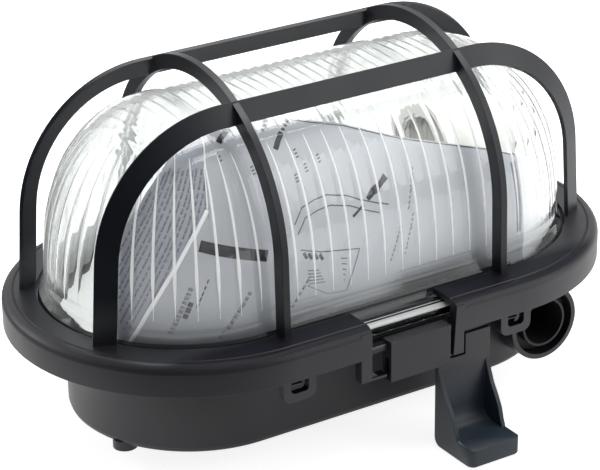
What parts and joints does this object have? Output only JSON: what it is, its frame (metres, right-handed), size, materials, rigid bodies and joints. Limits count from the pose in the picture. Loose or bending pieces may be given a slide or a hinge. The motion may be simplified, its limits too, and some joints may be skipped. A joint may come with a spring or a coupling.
{
  "type": "oval bulkhead light",
  "caption": "Black oval bulkhead light with a ribbed clear glass, a hinged cage guard with a release lever, a lampholder, wiring and a side cable entry.",
  "frame": {"origin": "on the wall plane, at the centre of the fitting, midway between the two wall screws", "axes": "+X along the length towards the lampholder, +Z straight away from the wall, -Y towards the release lever and cable entry"},
  "size_m": [0.2126, 0.144, 0.1248],
  "materials": {
    "black_plastic": "satin moulded",
    "lever_plastic": "satin moulded",
    "glass": "clear, ribbed",
    "rubber": "matt",
    "white_sheet": "white enamel",
    "black_steel": "blackened",
    "steel": "zinc plated",
    "ceramic": "glazed",
    "nickel": "nickel plated",
    "brass": "bright",
    "white_plastic": "gloss",
    "brown_lead": "soft",
    "blue_lead": "soft",
    "paper": "printed white paper"
  },
  "bodies": {
    "base": {"base_tub": "black_plastic", "gasket": "rubber", "cable_grommet": "rubber", "reflector": "white_sheet", "reflector_screws": "steel", "lampholder_bracket": "white_sheet", "bracket_screws": "steel", "lampholder_body": "ceramic", "lampholder_shell": "nickel", "lampholder_contact": "brass", "lampholder_screws": "steel", "terminal_block": "white_plastic", "terminal_inserts": "brass", "terminal_screws": "steel", "terminal_fixing_screw": "steel", "wire_live": "brown_lead", "wire_neutral": "blue_lead"},
    "guard": {"guard": "black_plastic", "lens": "glass", "leaflet": "paper", "lever_pin": "black_steel"},
    "lever": {"release_lever": "lever_plastic"}
  },
  "joints": [
    {"name": "guard_hinge", "type": "hinge", "parent": "base", "child": "guard", "pos_m": [0, 0.0605, 0.027], "axis": [-1, 0, 0], "range_deg": [0, 95]},
    {"name": "lever_pivot", "type": "hinge", "parent": "guard", "child": "lever", "pos_m": [0, -0.0593, 0.034], "axis": [-1, 0, 0], "range_deg": [0, 30]}
  ]
}
